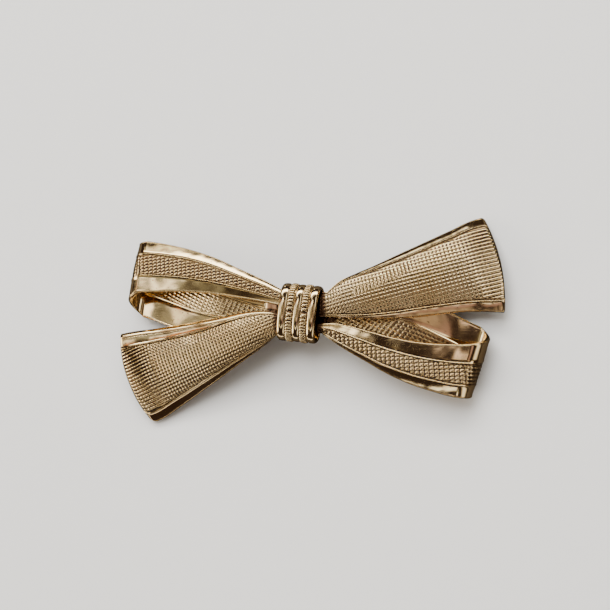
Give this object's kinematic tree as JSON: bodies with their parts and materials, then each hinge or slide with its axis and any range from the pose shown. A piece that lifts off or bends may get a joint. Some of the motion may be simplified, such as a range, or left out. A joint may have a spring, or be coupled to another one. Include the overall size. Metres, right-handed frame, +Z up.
{
  "type": "bow brooch",
  "caption": "Gilt sheet metal brooch in the shape of a ribbon bow, with folded loops, flared tails, a ribbed knot band and a closed pin on its back.",
  "frame": {"origin": "on the surface that the brooch lies on, under the middle of its box", "axes": "+X along the bow, towards the pin's catch, +Y towards the bow's upper side, +Z up, out of the bow's face"},
  "size_m": [0.0564, 0.0284, 0.0075],
  "materials": {
    "gilt_ribbon": "pale gold plate, finely knurled band between polished margins",
    "gilt_knot": "pale gold plate, polished and milled ridges",
    "gilt_pin": "dull gold plate, plain"
  },
  "bodies": {
    "root": {"left_loop": "gilt_ribbon", "right_loop": "gilt_ribbon", "left_tail": "gilt_ribbon", "right_tail": "gilt_ribbon", "knot_band": "gilt_knot", "pin_back": "gilt_pin"}
  },
  "joints": []
}
